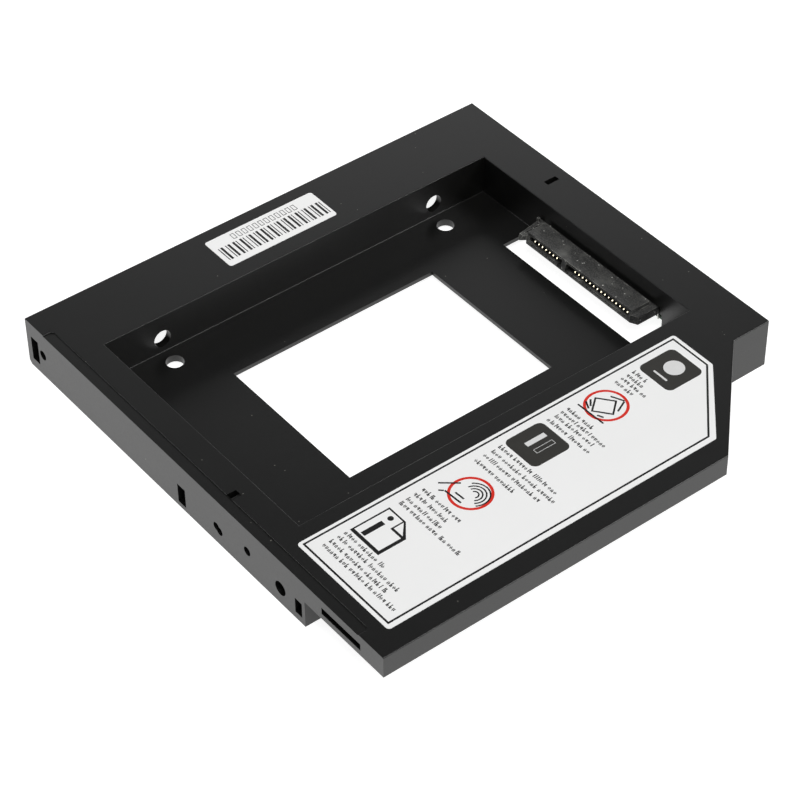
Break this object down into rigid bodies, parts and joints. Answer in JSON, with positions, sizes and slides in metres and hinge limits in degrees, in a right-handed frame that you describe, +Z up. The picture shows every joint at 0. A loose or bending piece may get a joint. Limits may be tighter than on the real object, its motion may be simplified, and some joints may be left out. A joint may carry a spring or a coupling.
{
  "type": "laptop drive caddy",
  "caption": "Slim black tray that fills a laptop's optical drive bay and holds a 2.5-inch drive in a floored pocket with a window, receptacle and adapter board.",
  "frame": {"origin": "centre of the bounding box's base, on the plane the tray rests on", "axes": "+Z up, from the base to the labelled top; +X to the right along the front edge, towards the thin wing; +Y from the front edge to the rear connector"},
  "size_m": [0.128, 0.1264, 0.0128],
  "materials": {
    "shell_plastic": "fine spark-eroded moulded grain, black",
    "receptacle_plastic": "glass-filled connector plastic, dark grey",
    "plug_plastic": "glass-filled connector plastic, black",
    "contact_gold": "gold plate over a copper alloy",
    "clip_tin": "bright tin plate",
    "board_mask": "green solder mask over glass laminate",
    "screw_steel": "zinc-plated steel",
    "capacitor_ceramic": "fired ceramic with tinned ends",
    "resistor_ceramic": "glazed ceramic with tinned ends",
    "barcode_paper": "white coated paper, printed",
    "label_paper": "white coated paper, printed"
  },
  "bodies": {
    "root": {"tray_shell": "shell_plastic", "drive_receptacle": "receptacle_plastic", "drive_signal_contacts": "contact_gold", "drive_power_contacts": "contact_gold", "drive_clip_left": "clip_tin", "drive_clip_right": "clip_tin", "adapter_board": "board_mask", "host_plug": "plug_plastic", "host_signal_contacts": "contact_gold", "host_power_contacts": "contact_gold", "host_clip_left": "clip_tin", "host_clip_right": "clip_tin", "board_screw_left": "screw_steel", "board_screw_right": "screw_steel", "supply_capacitor_a": "capacitor_ceramic", "supply_capacitor_b": "capacitor_ceramic", "presence_resistor": "resistor_ceramic", "barcode_sticker": "barcode_paper", "info_sticker": "label_paper"}
  },
  "joints": []
}
